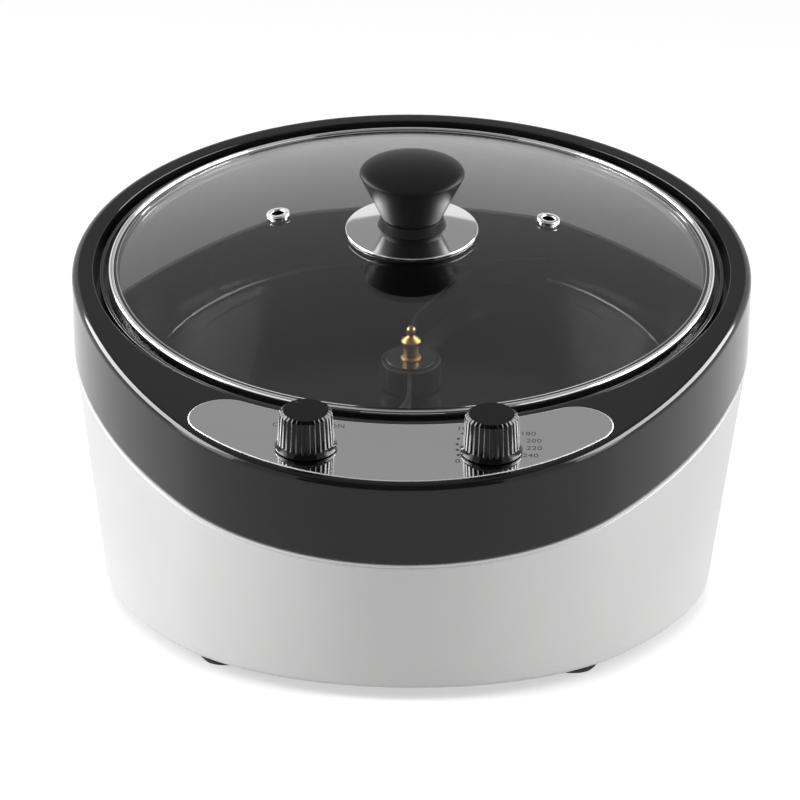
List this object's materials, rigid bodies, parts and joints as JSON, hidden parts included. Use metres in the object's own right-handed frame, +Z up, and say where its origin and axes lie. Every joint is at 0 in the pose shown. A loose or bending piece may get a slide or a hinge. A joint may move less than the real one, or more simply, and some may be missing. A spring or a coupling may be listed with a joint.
{
  "type": "home coffee bean roaster",
  "caption": "Countertop coffee bean roaster: stirred pan under a lift-off glass lid in a sloping egg-shaped housing, with a stir switch and a heat control.",
  "frame": {"origin": "on the table, midway between the sides and between the foremost and rearmost points", "axes": "+X to the right, +Y to the back, +Z up; the deck rises towards +Y by 15 degrees"},
  "size_m": [0.2912, 0.3312, 0.1916],
  "materials": {
    "white_plastic": "satin",
    "black_gloss": "gloss",
    "black_plastic": "satin",
    "panel_steel": "polished",
    "steel": "satin",
    "bright_steel": "polished",
    "smoked_glass": "clear",
    "pan_coating": "non-stick coating",
    "aluminium": "satin",
    "brass": "satin",
    "rubber": "matt",
    "silicone": "matt",
    "copper": "satin",
    "ceramic": "matt"
  },
  "bodies": {
    "base": {"lower_housing": "white_plastic", "top_bezel": "black_gloss", "joining_screws": "steel", "control_panel": "panel_steel", "cord_gland": "black_plastic", "bottom_cover": "black_plastic", "foot_front_left": "rubber", "foot_front_right": "rubber", "foot_rear_left": "rubber", "foot_rear_right": "rubber", "foot_screws": "steel", "cover_screws": "steel", "terminal_block": "black_plastic", "switch_body": "black_plastic", "thermostat_body": "steel", "panel_nuts": "steel", "roasting_pan": "pan_coating", "heating_element": "steel", "element_clips": "steel", "thermostat_bulb": "copper", "bulb_clip": "steel", "capillary_tube": "copper", "heat_reflector": "aluminium", "thermal_fuse": "ceramic", "bracket_pillars": "steel", "motor_bracket": "steel", "bracket_screws": "steel", "gearbox_case": "steel", "drive_motor": "steel", "drive_bush": "brass"},
    "lid": {"lid_glass": "smoked_glass", "lid_rim": "bright_steel", "lid_gasket": "silicone", "vent_eyelet_left": "steel", "vent_eyelet_right": "steel", "seat_washer": "silicone", "knob_dish": "bright_steel", "knob_collar": "black_gloss", "lid_knob": "black_gloss", "knob_screw": "steel"},
    "stirrer": {"gearbox_shaft": "steel", "drive_coupler": "brass", "stirrer_spindle": "steel", "stirrer_hub": "black_plastic", "stirrer_arm_rear": "steel", "stirrer_arm_front": "steel", "hub_washer": "aluminium", "spindle_nut": "brass"},
    "stir_control": {"stir_knob": "black_gloss", "switch_spindle": "steel"},
    "heat_control": {"heat_knob": "black_gloss", "thermostat_spindle": "steel"}
  },
  "joints": [
    {"name": "lid_lift", "type": "slide", "parent": "base", "child": "lid", "axis": [0, -0.2588, 0.9659], "range_m": [0, 0.1]},
    {"name": "stirrer_spin", "type": "hinge", "parent": "base", "child": "stirrer", "pos_m": [0, 0.02874, 0.094], "axis": [0, -0.2588, 0.9659], "continuous": true},
    {"name": "stir_knob_turn", "type": "hinge", "parent": "base", "child": "stir_control", "pos_m": [-0.037, -0.1382, 0.10269], "axis": [0, -0.2588, 0.9659], "range_deg": [-66, 0]},
    {"name": "heat_knob_turn", "type": "hinge", "parent": "base", "child": "heat_control", "pos_m": [0.037, -0.1382, 0.10269], "axis": [0, -0.2588, 0.9659], "range_deg": [-140, 145]}
  ]
}
